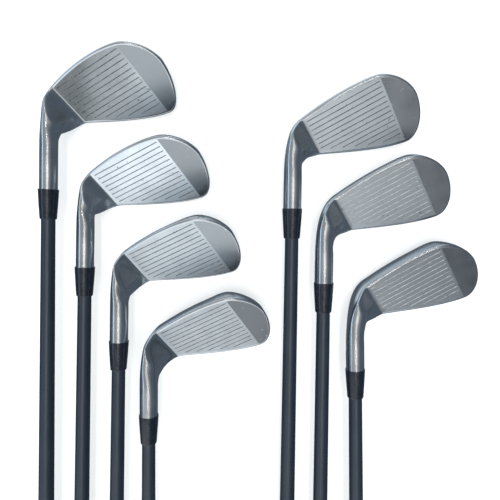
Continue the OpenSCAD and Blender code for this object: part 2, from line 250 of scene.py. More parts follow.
def rim_profile(depth, share):
    """How far a rim lies outside the outline and how deep, from the face to the back, for each station."""
    a = np.radians(90 * np.arange(ROUND_N + 1) / ROUND_N)
    mid = np.arange(1, MID_N) / MID_N
    offset, rows = [], []
    for d, r in zip(depth, edge_radius(share)):
        inset, drop = -r * (1 - np.sin(a)), r * (1 - np.cos(a))
        offset.append(np.concatenate([inset, np.zeros(MID_N - 1), inset[::-1]]))
        rows.append(np.concatenate([drop, lerp(r, d - r, mid), d - drop[::-1]]))
    return np.array(offset), np.array(rows)


def edge_radius(share):
    """The rounding of the front edge, which gets sharper round the toe."""
    return lerp(EDGE_R, TOE_EDGE_R, share)


def toe_share(s):
    """0 along the straight part of the blade, rising to 1 at the toe's tip."""
    return ease((s - TOE_FROM) / (1 - TOE_FROM))


def rim(club, s, low):
    """Rim points (along, up, out) as an array of stations by profile points.

    Behind the leading edge the sole runs back and inwards, and less so as it turns up the toe."""
    at, out = outline_at(club, s, low)
    share = toe_share(s)
    angle = club.loft - math.radians(BOUNCE)
    depth = lerp(SOLE_WIDTH * math.cos(angle) if low else TOPLINE_T, TOE_T, share)
    down = -out[:, 1] if low else np.zeros(len(s))
    relief = 1 - TOE_RELIEF * ease((s - TOE_RELIEF_FROM) / TOE_RELIEF_RUN)
    lean = math.tan(angle) * down * relief + TOE_LEAN * (1 - down) * share
    offset, d = rim_profile(depth, share)
    camber = SOLE_CAMBER * down[:, None] * np.sin(np.pi * d / depth[:, None]) if low else 0.0
    flat = at[:, None, :] + out[:, None, :] * (offset + camber - lean[:, None] * d)[:, :, None]
    return np.concatenate([flat, -d[:, :, None]], 2)


def cavity(x, s):
    """1 over the cavity in the back, falling to 0 up its walls; x goes across the blade and s along."""
    inside = 1
    for at, ((start, rise), (end, fall)) in ((x, CAVITY_ACROSS), (s, CAVITY_ALONG)):
        inside = inside * ease((at - start) / rise) * ease((end - at) / fall)
    return inside


def blade_rings(club, s):
    """Rings of the blade: face from top to bottom, sole, back from bottom to top, topline."""
    low, high = rim(club, s, True), rim(club, s, False)
    top, bottom = high[:, :1], low[:, :1]
    width = np.linalg.norm(bottom - top, axis=2)
    hold = np.minimum(HOLD / np.maximum(width, 1e-6), MOST_HOLD)
    share = np.zeros((len(s), FACE_N))
    share[:, 1:2] = hold
    share[:, 2:-1] = lerp(hold, 1 - hold, (np.arange(2, FACE_N - 1) - 1) / (FACE_N - 2))
    share[:, -1:] = 1 - hold
    face = lerp(top, bottom, share[:, :, None])
    x = np.arange(BACK_N)[None, :] / BACK_N
    back = lerp(low[:, -1:], high[:, -1:], x[:, :, None])
    back[:, :, 2] = lerp(back[:, :, 2], -PLATE_T, cavity(x, s[:, None]))
    ring = np.concatenate([face, low[:, :-1], back, high[:, :0:-1]], 1)
    return club.on_face(ring)


def hosel_angles(ring):
    """The angle round the hosel where each ring point ends, from the crotch side over the front."""
    step = np.linalg.norm(np.roll(ring, -1, 0) - ring, axis=1)
    length = np.concatenate([[0], np.cumsum(step)])
    top_mid = length[-1] - (length[-1] - length[RING_N - RIM_N]) / 2
    return 2 * math.pi * (length[:-1] - top_mid) / length[-1]


def front_share():
    """1 on the front, which leaves the face at a crease, falling to 0 over the edge rounding."""
    k = np.arange(RING_N)
    low = 1 - ease((k - FACE_N) / ROUND_N)
    high = ease((k - RING_N + ROUND_N) / ROUND_N)
    return np.where(k <= FACE_N, 1, np.maximum(low, high))


def even(line, count):
    """A polyline redrawn with evenly spaced points."""
    length = np.concatenate([[0], np.cumsum(np.linalg.norm(np.diff(line, axis=0), axis=1))])
    at = np.linspace(0, length[-1], count)
    return np.stack([np.interp(at, length, line[:, i]) for i in range(2)], 1)


def rail(start, along, x, first_reach, last_reach, bend):
    """A side of the neck: from the blade along its edge, round a corner and up the hosel at x."""
    corner = start + along * (x - start[0]) / along[0]
    run = np.linalg.norm(corner - start)
    first = start + along * max(0.0, run - first_reach)
    last = corner - np.array([0.0, last_reach])
    handles = [first, lerp(first, corner, bend), lerp(last, corner, bend), last]
    curve, _ = bezier(handles, np.linspace(0, 1, RAIL_POINTS))
    return np.concatenate([[start], curve]) if run > first_reach else curve


def distance_to(line, points):
    """How far each point is from a polyline."""
    fine = even(line, FINE_POINTS)
    away = points[..., None, :] - fine
    return np.sqrt((away * away).sum(-1).min(-1))


def with_tube(z, across, r, spare, front):
    """Heights on the neck, raised where the hosel's round tube stands above the web beside it.

    The tube's flank runs out in a slope where there is spare width, and a fillet joins it to the web."""
    end = np.radians(lerp(STEEP_FLANK, FLANK, spare))
    start = r * (1 + np.sin(end))
    crown = r * np.sqrt(np.clip(1 - (across / r - 1) ** 2, 0, 1))
    slope = r * np.cos(end) - (across - start) * np.tan(end)
    tube = np.where(across < start, crown, slope)
    side = np.where(front, 1.0, -1.0)
    low = side * z
    fillet = LEAST_FILLET + FILLET * spare
    share = np.clip(0.5 + 0.5 * (tube - low) / fillet, 0, 1)
    return side * (lerp(low, tube, share) + fillet * share * (1 - share))


def neck_rails(club, ring):
    """The neck's edges on the crotch side and the heel side, seen from the front."""
    r = club.hosel_r
    ups = ring @ club.up
    base = (ring[0] @ club.toe) * club.toe[:2]
    starts = []
    for low_side, up in ((False, ups.max()), (True, ups.min())):
        straight, _ = club.outline(low_side)
        rise, run = straight[1][1] - straight[0][1], straight[1][0] - straight[0][0]
        along = -np.array([1.0, rise / run * math.cos(club.loft)]) @ np.array([club.toe[:2], club.up[:2]])
        starts.append((base + up * club.up[:2], along / np.linalg.norm(along)))
    inner = rail(*starts[0], r, *club.crotch[:2], CROTCH_BEND)
    outer = rail(*starts[1], -r, math.inf, HEEL_REACH, HEEL_BEND)
    end_y = min(inner[-1][1], outer[-1][1]) - RAIL_OVERRUN
    sides = ((inner, r), (outer, -r))
    return [even(np.concatenate([line, [[x, end_y]]]), NECK_RINGS + 1) for line, x in sides]


def turned_round(v):
    """How much of the blade's section has given way to the hosel's, at a share of the way."""
    u = np.minimum(v, 1)
    return lerp(ease(u), 1 - (1 - u) ** 3, NECK_HASTE)


def leave_blade(club, rings, v, smooth):
    """The neck's rings, bent to run on from the blade behind and to leave it at a crease in front."""
    speed = (rings[1] - rings[0]) * NECK_RINGS
    size = np.linalg.norm(speed, axis=1)[:, None]
    smooth = smooth / np.linalg.norm(smooth, axis=1)[:, None]
    crease = -club.toe * math.cos(CREASE) + club.face_out * math.sin(CREASE)
    wanted = lerp(smooth, crease, front_share()[:, None])
    wanted /= np.linalg.norm(wanted, axis=1)[:, None]
    return rings + (wanted * size - speed) * (v * (1 - v) ** 3)[:, :, None]


def neck_rings(club, ring, before):
    """Rings from the heel line to the round hosel, hung between a crotch rail and a heel rail."""
    r = club.hosel_r
    ups = ring @ club.up
    share = (ups - ups.min()) / (ups.max() - ups.min())
    inner, outer = neck_rails(club, ring)
    phi = hosel_angles(ring)
    v = np.linspace(0, 1, NECK_RINGS + 1)[:, None]
    pace = v * club.crotch[2]
    across = lerp(share, 0.5 + 0.5 * np.cos(phi), turned_round(pace))
    flat = lerp(outer[:, None], inner[:, None], across[:, :, None])
    z = lerp(ring[:, 2], r * np.sin(phi), turned_round(pace * WEB_DELAY))
    spare = ease((distance_to(outer, inner)[:, None] - 2 * r) / (2 * r))
    tube = with_tube(z, distance_to(outer, flat), r, spare, np.sin(phi) > 0)
    z = lerp(z, tube, ease(v / TUBE_FADE))
    rings = leave_blade(club, np.concatenate([flat, z[:, :, None]], 2), v, ring - before)
    hold = ease(v[2:-1] / SMOOTH_RUN)[:, :, None]
    for _ in range(NECK_SMOOTH):
        along = (rings[1:-2] + rings[3:]) / 2
        around = (np.roll(rings, 1, 1) + np.roll(rings, -1, 1))[2:-1] / 2
        rings[2:-1] = lerp(rings[2:-1], (along + around) / 2, 0.5 * hold)
    return rings[1:], circle(r, 0.0, phi), phi


class Skin:
    """Points and faces of one piece, collected part by part."""

    def __init__(self):
        self.points, self.faces, self.slots = [], [], []

    def add(self, points):
        at = len(self.points)
        self.points.extend(np.asarray(points, float).reshape(-1, 3))
        return at

    def face(self, corners, slot=0):
        self.faces.append(tuple(int(c) for c in corners))
        self.slots.append(slot)

    def band(self, a, b, count, slot=0):
        """A closed strip of faces between two rings of points."""
        for k in range(count):
            m = (k + 1) % count
            self.face((a + k, a + m, b + m, b + k), slot)

    def build(self, name, club, materials, smooth_angle=30):
        """The piece itself, in the club's place."""
        mesh = bpy.data.meshes.new(name)
        bm = bmesh.new()
        verts = [bm.verts.new(club.tilt @ Vector(p) * MM) for p in self.points]
        for corners, slot in zip(self.faces, self.slots):
            face = bm.faces.new([verts[c] for c in corners])
            face.material_index = slot
            face.smooth = True
        bmesh.ops.delete(bm, geom=[v for v in bm.verts if not v.link_faces], context="VERTS")
        bmesh.ops.recalc_face_normals(bm, faces=bm.faces)
        bm.to_mesh(mesh)
        bm.free()
        for material in materials:
            mesh.materials.append(material)
        mesh.set_sharp_from_angle(angle=math.radians(smooth_angle))
        piece = bpy.data.objects.new(name, mesh)
        bpy.context.scene.collection.objects.link(piece)
        piece.matrix_world = club.matrix
        return piece


def turned(profile, sides):
    """A closed skin turned round the shaft's axis from its profile of (radius, distance)."""
    skin = Skin()
    turn = 2 * math.pi * np.arange(sides) / sides
    rings = [skin.add(circle(radius, y, turn)) for radius, y in profile]
    for a, b in zip(rings, rings[1:] + rings[:1]):
        skin.band(a, b, sides)
    return skin


# --- Heads
POLISHED, FACE, TOE, GROOVE, BACK = range(5)
SOCKET_DEPTH = 31.0
TIP_D = 9.4
GLUE_GAP = 0.05
# The part of the topline that rises towards the toe, and what the face's triangulation is told
RISING_SHARE = 0.62
INSIDE_ONLY = 1
MERGE_WITHIN = 1e-5


def blade_stations(club):
    """Stations from the heel line towards the toe, with one on each end of the toe line."""
    s = np.concatenate([np.linspace(0, STRAIGHT_SHARE, STRAIGHT_RINGS + 1),
                        np.linspace(STRAIGHT_SHARE, 1, TOE_RINGS + 1)[1:-1]])
    fine = np.linspace(STRAIGHT_SHARE, TOE_LINE_WITHIN, 400)
    ends = []
    for low in (True, False):
        at, out = outline_at(club, fine, low)
        inner = at - out * (edge_radius(toe_share(fine)) + HOLD)[:, None]
        ends.append(float(np.interp(TOE_LINE, inner[:, 0], fine)))
    keep = [v for v in s if min(abs(v - e) for e in ends) > CLOSEST_RINGS]
    return np.sort(np.array(keep + ends)), ends


def capsule(t0, t1, v, half, segments=5):
    """A score line's outline on the face: a straight slot with round ends."""
    a = np.linspace(-math.pi / 2, math.pi / 2, segments)
    right = np.stack([t1 - half + half * np.cos(a), v + half * np.sin(a)], 1)
    left = np.stack([t0 + half - half * np.cos(a), v - half * np.sin(a)], 1)
    return np.concatenate([right, left])


def score_lines(club, top):
    """Heel end, toe end and height of each score line; the high ones start where the topline allows."""
    rows = []
    for j in range(club.lines):
        v = j * GROOVE_PITCH
        edge = v + GROOVE_MARGIN
        start = float(np.interp(edge, top[:, 1], top[:, 0])) if edge > top[0, 1] else 0.0
        if start < GROOVE_LENGTH - SHORTEST_GROOVE:
            rows.append((max(0.0, start), GROOVE_LENGTH, v))
    return rows


def on_flat(skin, club, ids):
    """Points of a skin as (along the score lines, up the face, out of it)."""
    inverse = np.array([club.toe, club.face_up, club.face_out])
    return (np.array([skin.points[i] for i in ids]) - club.start) @ inverse.T


def add_face(skin, club, border, toe_ends, grooves):
    """The flat face: the blasted hitting area with its score lines, and the satin toe beyond it."""
    coords = [Vector(p[:2]) for p in on_flat(skin, club, border)]
    ids = list(border)
    outer = list(range(len(border)))
    edges = [(border.index(toe_ends[0]), border.index(toe_ends[1]))]
    section = [(GROOVE_WIDTH / 2 + GROOVE_LIP, 0.0), (GROOVE_WIDTH / 2 - GROOVE_WALL, -GROOVE_LIP_DEPTH),
               (GROOVE_WIDTH / 4, -GROOVE_DEPTH)]
    for t0, t1, v in grooves:
        lines = [capsule(t0, t1, v, half) for half, _ in section]
        n = len(lines[0])
        starts = [skin.add(club.on_face(np.column_stack([line, np.full(n, depth)])))
                  for line, (_, depth) in zip(lines, section)]
        first = len(coords)
        coords.extend(Vector(p) for p in lines[0])
        ids.extend(range(starts[0], starts[0] + n))
        edges.extend((first + k, first + (k + 1) % n) for k in range(n))
        for a, b in zip(starts, starts[1:]):
            skin.band(a, b, n, GROOVE)
        skin.face([starts[-1] + k for k in range(n)], GROOVE)
    _, _, faces, origin, _, _ = delaunay_2d_cdt(coords, edges, [outer], INSIDE_ONLY, MERGE_WITHIN)
    for corners in faces:
        picked = [origin[c][0] for c in corners]
        middle = sum((coords[c] for c in picked), Vector((0, 0))) / len(picked)
        in_line = any(abs(middle.y - v) < GROOVE_WIDTH / 2 and t0 < middle.x < t1 for t0, t1, v in grooves)
        if not in_line:
            skin.face([ids[c] for c in picked], FACE if middle.x < TOE_LINE else TOE)


def add_rings(skin, rings, last_blade):
    """The head's skin between its rings, but for the flat face."""
    skin.add(rings)
    for i in range(len(rings) - 1):
        on_blade = i < last_blade
        for k in range(RING_N):
            if on_blade and 1 <= k < FACE_N - 1:
                continue
            m = (k + 1) % RING_N
            skin.face((i * RING_N + k, (i + 1) * RING_N + k, (i + 1) * RING_N + m, i * RING_N + m),
                      BACK if on_blade and k in BACK_SPAN else POLISHED)


def close_toe(skin, club):
    """Joins the first ring to the toe's tip, and gives the face's corner there."""
    tip = rim(club, np.array([1.0]), True)[0]
    tip_at = skin.add(club.on_face(tip))
    hold_at = skin.add(club.on_face(tip[:1] - [[HOLD, 0, 0]]))

    def match(k):
        """The tip's point that a point of the first ring joins."""
        if k in (1, FACE_N - 1):
            return hold_at
        if k <= FACE_N:
            return tip_at
        if k <= BACK_SPAN.start:
            return tip_at + k - FACE_N
        if k <= BACK_SPAN.stop:
            return tip_at + RIM_N
        return tip_at + RING_N - k

    around = list(range(FACE_N - 1, RING_N)) + [0, 1]
    for k, m in zip(around, around[1:]):
        a, b = match(k), match(m)
        skin.face((k, m, b) if a == b else (k, m, b, a), BACK if k in BACK_SPAN else POLISHED)
    return hold_at


def add_socket(skin, at, phi):
    """The shaft's socket, from the last ring inwards."""
    bore = TIP_D / 2 + GLUE_GAP
    for y in (0.0, SOCKET_DEPTH):
        inner = skin.add(circle(bore, y, phi))
        for k in range(RING_N):
            m = (k + 1) % RING_N
            skin.face((at + k, inner + k, inner + m, at + m), POLISHED)
        at = inner
    skin.face([at + k for k in range(RING_N)], POLISHED)


def make_head(club, materials):
    """The whole head: blade, neck, hosel and the shaft's socket, in one closed skin."""
    s, ends = blade_stations(club)
    blade = blade_rings(club, s)
    neck, end, phi = neck_rings(club, blade[0], blade[1])
    rings = np.concatenate([blade[::-1], neck, end[None]])
    skin = Skin()
    last_blade = len(blade) - 1
    add_rings(skin, rings, last_blade)
    hold_at = close_toe(skin, club)
    bottom = [i * RING_N + FACE_N - 1 for i in range(last_blade, -1, -1)]
    top = [i * RING_N + 1 for i in range(last_blade + 1)]
    heel = [last_blade * RING_N + k for k in range(2, FACE_N - 1)]
    border = heel + bottom + [hold_at] + top
    stations = [last_blade - int(np.argmin(abs(s - e))) for e in ends]
    toe_ends = [i * RING_N + k for i, k in zip(stations, (FACE_N - 1, 1))]
    top_line = on_flat(skin, club, top[::-1])
    rise = top_line[:int(len(top_line) * RISING_SHARE)]
    add_face(skin, club, border, toe_ends, score_lines(club, rise))
    add_socket(skin, (len(rings) - 1) * RING_N, phi)
    return skin.build(club.name + "_head_skin", club, materials)


# --- Shafts, in millimetres; the tip stops short of the socket's end, and the butt short of the cap
BUTT_D = 15.2
BUTT_WALL = 1.25
BUTT_PARALLEL = 40
BUTT_CLEARANCE = 1
TIP_PARALLEL = 45.0
TIP_BORE_D = 4.4
TIP_CLEARANCE = 1.5
TIP_CHAMFER = 0.4
SHAFT_SIDES = 72

# --- Ferrules and caps, in millimetres
FERRULE_L = 21.0
FERRULE_D = 13.8
FERRULE_END_D = 11.4
FERRULE_LIP = 0.8
FERRULE_SWELL = 0.25
CAP_D = 26.4
CAP_T = 5.0
CAP_BEAD = 1.2
VENT_R = 1.8
ROUND_SIDES = 96

# --- Grips, in millimetres
GRIP_L = 264.0
GRIP_MOUTH_D = 18.6
GRIP_BUTT_D = 26.0
GRIP_PARALLEL = 39.0
GRIP_GAP = 0.06
CAP_GAP = 0.05
TAPE_T = 0.3
GRIP_SIDES = 144
GRIP_ROWS = 460
GRIP_CREASE = 40
# The diamonds: how many go round, how their lines wind, how wide and deep those are, and the plain ends
DIAMONDS = 12
DIAMOND_WIND = 0.62
DIAMOND_LINE = 0.22
DIAMOND_DEPTH = 0.32
PLAIN_BUTT = 16
PLAIN_MOUTH = 22
PLAIN_RUN = 3
# A plain band part of the way down, with a narrow ring groove on either side
BAND_AT = 132
BAND_HALF = 3.2
BAND_RUN = 1.2
RING_OUT = 4
RING_HALF = 0.8
RING_RUN = 0.5
RING_DEPTH = 0.35


def arc(cx, cy, r, a0, a1, n):
    """Points of an arc between two angles in degrees."""
    a = np.radians(np.linspace(a0, a1, n))
    return [(cx + r * math.cos(v), cy + r * math.sin(v)) for v in a]


def make_ferrule(club, materials):
    """The collar on the end of the hosel, slightly swollen as it widens to the hosel's size."""
    bore, lip = TIP_D / 2 + GLUE_GAP, FERRULE_LIP
    end_r, r = FERRULE_END_D / 2, FERRULE_D / 2
    body = []
    for u in np.linspace(0, 1, 14):
        wide = math.sin(math.pi / 2 * u) * FERRULE_SWELL + (1 - FERRULE_SWELL) * u
        body.append((lerp(end_r, r, wide), lerp(-FERRULE_L + lip, -0.5, u)))
    profile = [(bore, -FERRULE_L)] + arc(end_r - lip, -FERRULE_L + lip, lip, -90, 0, 7)[:-1] + body
    profile += [(r - 0.06, -0.12), (r - 0.3, 0.0), (bore, 0.0)]
    return turned(profile, ROUND_SIDES).build(club.name + "_ferrule_body", club, materials)


def shaft_r(club, up):
    """The shaft's radius at a distance above its butt."""
    span = (-club.butt_y - CAP_T - BUTT_CLEARANCE - BUTT_PARALLEL
            + SOCKET_DEPTH - TIP_CLEARANCE - TIP_PARALLEL)
    return BUTT_D / 2 - (BUTT_D - TIP_D) / 2 * max(0.0, up - BUTT_PARALLEL) / span


def make_shaft(club, materials):
    """The tapered tube, from its tip in the socket to its butt under the cap."""
    tip_y = SOCKET_DEPTH - TIP_CLEARANCE
    butt = club.butt_y + CAP_T + BUTT_CLEARANCE
    taper_to = butt + BUTT_PARALLEL
    profile = [(TIP_BORE_D / 2, tip_y), (TIP_D / 2 - TIP_CHAMFER, tip_y), (TIP_D / 2, tip_y - TIP_CHAMFER)]
    for u in np.linspace(0, 1, 20):
        profile.append((lerp(TIP_D, BUTT_D, u) / 2, lerp(tip_y - TIP_PARALLEL, taper_to, u)))
    profile += [(BUTT_D / 2, butt), (BUTT_D / 2 - BUTT_WALL, butt), (BUTT_D / 2 - BUTT_WALL, taper_to)]
    return turned(profile, SHAFT_SIDES).build(club.name + "_shaft_tube", club, materials)


def make_grip(club, materials):
    """The grip, with rows of small moulded diamonds between plain bands."""
    butt = club.butt_y + CAP_T + CAP_GAP
    inner, mouth_inner = [shaft_r(club, up) + TAPE_T + GRIP_GAP for up in (0, GRIP_L)]
    y = np.linspace(0.0, GRIP_L, GRIP_ROWS)
    wide, narrow = GRIP_BUTT_D / 2, GRIP_MOUTH_D / 2
    outer = np.interp(y, [0, 35, GRIP_L - 12, GRIP_L - 2, GRIP_L],
                      [wide, wide - 1, narrow + 0.4, narrow, narrow - 0.8])
    turn = 2 * math.pi * np.arange(GRIP_SIDES) / GRIP_SIDES
    u, w = np.meshgrid(turn, y)
    pattern = (np.abs(np.sin(DIAMONDS * u + w * DIAMOND_WIND))
               * np.abs(np.sin(DIAMONDS * u - w * DIAMOND_WIND)))
    groove = DIAMOND_DEPTH * (1 - ease(pattern / DIAMOND_LINE))
    plain = ease((w - PLAIN_BUTT) / PLAIN_RUN) * ease((GRIP_L - PLAIN_MOUTH - w) / PLAIN_RUN)
    from_band = np.abs(w - BAND_AT)
    band = 1 - ease((BAND_HALF - from_band) / BAND_RUN)
    ring_groove = RING_DEPTH * ease((RING_HALF - np.abs(from_band - RING_OUT)) / RING_RUN)
    radius = outer[:, None] - groove * plain * band - ring_groove
    skin = Skin()
    at = skin.add(np.stack([radius * np.cos(u), butt + w, radius * np.sin(u)], 2))
    rings = [at + i * GRIP_SIDES for i in range(GRIP_ROWS)]
    for r, up in ((mouth_inner, GRIP_L), (inner, GRIP_PARALLEL), (inner, 0.0)):
        rings.append(skin.add(circle(r, butt + up, turn)))
    for a, b in zip(rings, rings[1:] + rings[:1]):
        skin.band(a, b, GRIP_SIDES)
    return skin.build(club.name + "_grip_sleeve", club, materials, GRIP_CREASE)


def make_cap(club, materials):
    """The grip's end disc, with a shallow ring groove round its vent."""
    r, y = CAP_D / 2, club.butt_y
    profile = [(VENT_R, y + 0.3), (VENT_R + 0.3, y)]
    profile += [(6.2, y), (6.5, y + 0.4), (7.1, y + 0.4), (7.4, y)]
    profile += arc(r - CAP_BEAD, y + CAP_BEAD, CAP_BEAD, -90, 0, 8)
    profile += arc(r - CAP_BEAD, y + CAP_T - CAP_BEAD, CAP_BEAD, 0, 70, 6)
    profile += [(GRIP_BUTT_D / 2 - 0.2, y + CAP_T), (VENT_R, y + CAP_T)]
    return turned(profile, ROUND_SIDES).build(club.name + "_cap_disc", club, materials)


# --- Materials
class Look:
    """A material with a Principled shader and short calls that add nodes to it."""

    def __init__(self, name, **values):
        self.material = bpy.data.materials.new(name)
        self.material.use_nodes = True
        self.tree = self.material.node_tree
        self.shader = self.tree.nodes["Principled BSDF"]
        for key, value in values.items():
            self.shader.inputs[key.replace("_", " ")].default_value = value

    def node(self, kind, inputs=(), **settings):
        node = self.tree.nodes.new(kind)
        for key, value in settings.items():
            setattr(node, key, value)
        for key, value in dict(inputs).items():
            if isinstance(value, bpy.types.NodeSocket):
                self.tree.links.new(value, node.inputs[key])
            else:
                node.inputs[key].default_value = value
        return node

    def place(self, scale=(1, 1, 1), turn=(0, 0, 0)):
        """The place on the piece, scaled and turned."""
        coords = self.node("ShaderNodeTexCoord").outputs["Object"]
        inputs = {"Vector": coords, "Scale": scale, "Rotation": turn}
        return self.node("ShaderNodeMapping", inputs).outputs[0]

    def noise(self, at, scale, detail, rough=0.5):
        return self.node("ShaderNodeTexNoise", {"Vector": at, "Scale": scale, "Detail": detail,
                                                "Roughness": rough}).outputs["Fac"]

    def range(self, value, low, high, to_low=0.0, to_high=1.0):
        return self.node("ShaderNodeMapRange", {"Value": value, "From Min": low, "From Max": high,
                                                "To Min": to_low, "To Max": to_high}).outputs[0]

    def math(self, kind, a, b):
        return self.node("ShaderNodeMath", {0: a, 1: b}, operation=kind).outputs[0]

    def mix(self, share, a, b):
        node = self.node("ShaderNodeMix", {"Factor": share}, data_type="RGBA")
        for key, value in (("A", a), ("B", b)):
            socket = [s for s in node.inputs if s.name == key and s.type == "RGBA"][0]
            if isinstance(value, bpy.types.NodeSocket):
                self.tree.links.new(value, socket)
            else:
                socket.default_value = (*value, 1.0)
        return [s for s in node.outputs if s.type == "RGBA"][0]

    def bump(self, height, depth, strength):
        inputs = {"Height": height, "Distance": depth, "Strength": strength}
        return self.node("ShaderNodeBump", inputs).outputs[0]

    def set(self, **sockets):
        for key, value in sockets.items():
            self.tree.links.new(value, self.shader.inputs[key.replace("_", " ")])
        return self.material


def at_level(level, tone):
    return [level * v for v in tone]


def polished_steel(name):
    """Chrome on the hosel, sole and edges, with faint smudges and hairlines."""
    look = Look(name, Metallic=1.0)
    at = look.place()
    smudge = look.noise(at, 90.0, 4.0)
    hair = look.noise(look.place((900, 60, 900)), 1.0, 2.0)
    rough = look.math("ADD", look.range(smudge, 0.35, 0.7, 0.18, 0.25),
                      look.range(hair, 0.45, 0.75, 0.0, 0.03))
    tone = look.mix(look.range(smudge, 0.3, 0.7), (0.60, 0.63, 0.66), (0.68, 0.70, 0.72))
    return look.set(Roughness=rough, Base_Color=tone, Normal=look.bump(hair, 0.00001, 0.3))


def blasted_steel(name, level, shade_slope=None):
    """The hitting area's finish at a brightness that holds painted light; with a slope, painted shade
    darkens it down that direction.
    """
    look = Look(name, Metallic=1.0)
    at = look.place()
    grain = look.noise(at, 2600.0, 2.0, 0.6)
    patch = look.noise(at, 70.0, 5.0, 0.65)
    scuff = look.range(look.noise(look.place((500, 120, 500), (0, 0, 0.5)), 1.0, 4.0, 0.7), 0.6, 0.72)
    speck = look.range(look.noise(at, 420.0, 1.0, 0.5), 0.735, 0.76)
    # The level holds painted light: it sets how brightly this club's face comes out
    low, high = at_level(level, (0.84, 0.90, 0.94)), at_level(level, (0.93, 0.99, 1.03))
    tone = look.mix(look.range(patch, 0.35, 0.65), low, high)
    # Painted shade: the face darkens towards the heel and the sole, in patches
    if shade_slope:
        dot = look.node("ShaderNodeVectorMath", {0: at, 1: shade_slope}, operation="DOT_PRODUCT")
        cloud = look.range(look.noise(at, 45.0, 4.0, 0.6), 0.3, 0.7, -0.12, 0.12)
        unshaded = look.math("ADD", look.range(dot.outputs["Value"], SHADE_FROM, SHADE_TO), cloud)
        tone = look.mix(look.range(unshaded, 0.0, 1.0), (0.15, 0.165, 0.17), tone)
    tone = look.mix(look.math("MULTIPLY", scuff, 0.25), tone, at_level(level, (0.55, 0.55, 0.55)))
    tone = look.mix(look.range(grain, 0.35, 0.65, 0.0, 0.22), tone, at_level(level, (0.66, 0.66, 0.66)))
    tone = look.mix(look.math("MULTIPLY", speck, 0.7), tone, (0.10, 0.10, 0.09))
    rough = look.range(patch, 0.3, 0.7, 0.46, 0.36)
    return look.set(Roughness=rough, Base_Color=tone, Normal=look.bump(grain, 0.00012, 0.8))


def satin_steel(name, level):
    """The brushed finish of the toe and the back at a brightness that holds painted light, with a few
    nicks.
    """
    look = Look(name, Metallic=1.0)
    at = look.place()
    lines = look.noise(look.place((2500, 120, 2500), (0, 0, 0.4)), 1.0, 3.0)
    patch = look.noise(at, 80.0, 4.0)
    nick = look.range(look.noise(look.place((260, 420, 260), (0, 0, 0.7)), 1.0, 2.0, 0.5), 0.70, 0.74)
    low, high = at_level(level, (0.92, 0.98, 1.03)), at_level(level, (1.02, 1.08, 1.13))
    tone = look.mix(look.range(patch, 0.3, 0.7), low, high)
    tone = look.mix(look.math("MULTIPLY", nick, 0.35), tone, (0.8, 0.84, 0.86))
    rough = look.math("ADD", look.range(patch, 0.3, 0.7, 0.26, 0.34),
                      look.range(lines, 0.3, 0.7, 0.0, 0.06))
    return look.set(Roughness=rough, Base_Color=tone, Normal=look.bump(lines, 0.00002, 0.35))


def groove_fill(name, metallic, low, high):
    """The inside of the score lines, a fill mottled in colour and roughness."""
    look = Look(name, Metallic=metallic)
    mottle = look.noise(look.place(), 400.0, 4.0, 0.7)
    return look.set(Base_Color=look.mix(look.range(mottle, 0.4, 0.62), low, high),
                    Roughness=look.range(mottle, 0.3, 0.7, 0.5, 0.8))


def glossy_plastic(name):
    """The ferrules' black plastic."""
    look = Look(name, Coat_Weight=0.5, Coat_Roughness=0.08)
    wear = look.noise(look.place(), 260.0, 4.0)
    tone = look.mix(look.range(wear, 0.4, 0.7), (0.003, 0.005, 0.010), (0.006, 0.009, 0.016))
    return look.set(Base_Color=tone, Roughness=look.range(wear, 0.3, 0.7, 0.20, 0.30))


def painted_composite(name):
    """The shafts' dark paint over wound composite."""
    look = Look(name, Coat_Weight=0.15, Coat_Roughness=0.3)
    wrap = look.noise(look.place((700, 90, 700)), 1.0, 2.0)
    flake = look.noise(look.place(), 5200.0, 1.0)
    patch = look.noise(look.place(), 35.0, 3.0)
    tone = look.mix(look.range(patch, 0.3, 0.7), (0.006, 0.012, 0.020), (0.010, 0.016, 0.025))
    tone = look.mix(look.range(flake, 0.6, 0.75, 0.0, 0.3), tone, (0.035, 0.048, 0.065))
    return look.set(Base_Color=tone, Roughness=look.range(wrap, 0.3, 0.7, 0.34, 0.46),
                    Normal=look.bump(wrap, 0.00003, 0.3))


def moulded_rubber(name, tone_low, tone_high):
    """The grips' and caps' rubber."""
    look = Look(name)
    grain = look.noise(look.place(), 2200.0, 3.0)
    patch = look.noise(look.place(), 60.0, 4.0)
    return look.set(Base_Color=look.mix(look.range(patch, 0.3, 0.7), tone_low, tone_high),
                    Roughness=look.range(patch, 0.3, 0.7, 0.62, 0.78),
                    Normal=look.bump(grain, 0.0001, 0.5))


def brass(name):
    """The tip plugs' turned brass."""
    look = Look(name, Metallic=1.0)
    turned_lines = look.noise(look.place((100, 4000, 100)), 1.0, 2.0)
    return look.set(Base_Color=look.mix(turned_lines, (0.62, 0.45, 0.17), (0.74, 0.57, 0.27)),
                    Roughness=look.range(turned_lines, 0.3, 0.7, 0.25, 0.4))


def crepe_tape(name):
    """The creased paper tape under the grips."""
    look = Look(name)
    creases = look.noise(look.place((90, 1500, 90)), 1.0, 4.0)
    return look.set(Base_Color=look.mix(creases, (0.55, 0.46, 0.28), (0.72, 0.64, 0.44)),
                    Roughness=look.range(creases, 0.3, 0.7, 0.75, 0.9),
                    Normal=look.bump(creases, 0.0002, 0.6))


def pale_floor(name):
    """The pale surface under the clubs, which glows a little so that it comes out white."""
    look = Look(name)
    grain = look.noise(look.place(), 40.0, 3.0)
    look.shader.inputs["Emission Color"].default_value = (0.97, 1.0, 1.0, 1)
    look.shader.inputs["Emission Strength"].default_value = 0.5
    return look.set(Base_Color=look.mix(grain, (0.44, 0.445, 0.45), (0.46, 0.465, 0.47)),
                    Roughness=look.range(grain, 0.3, 0.7, 0.7, 0.8))


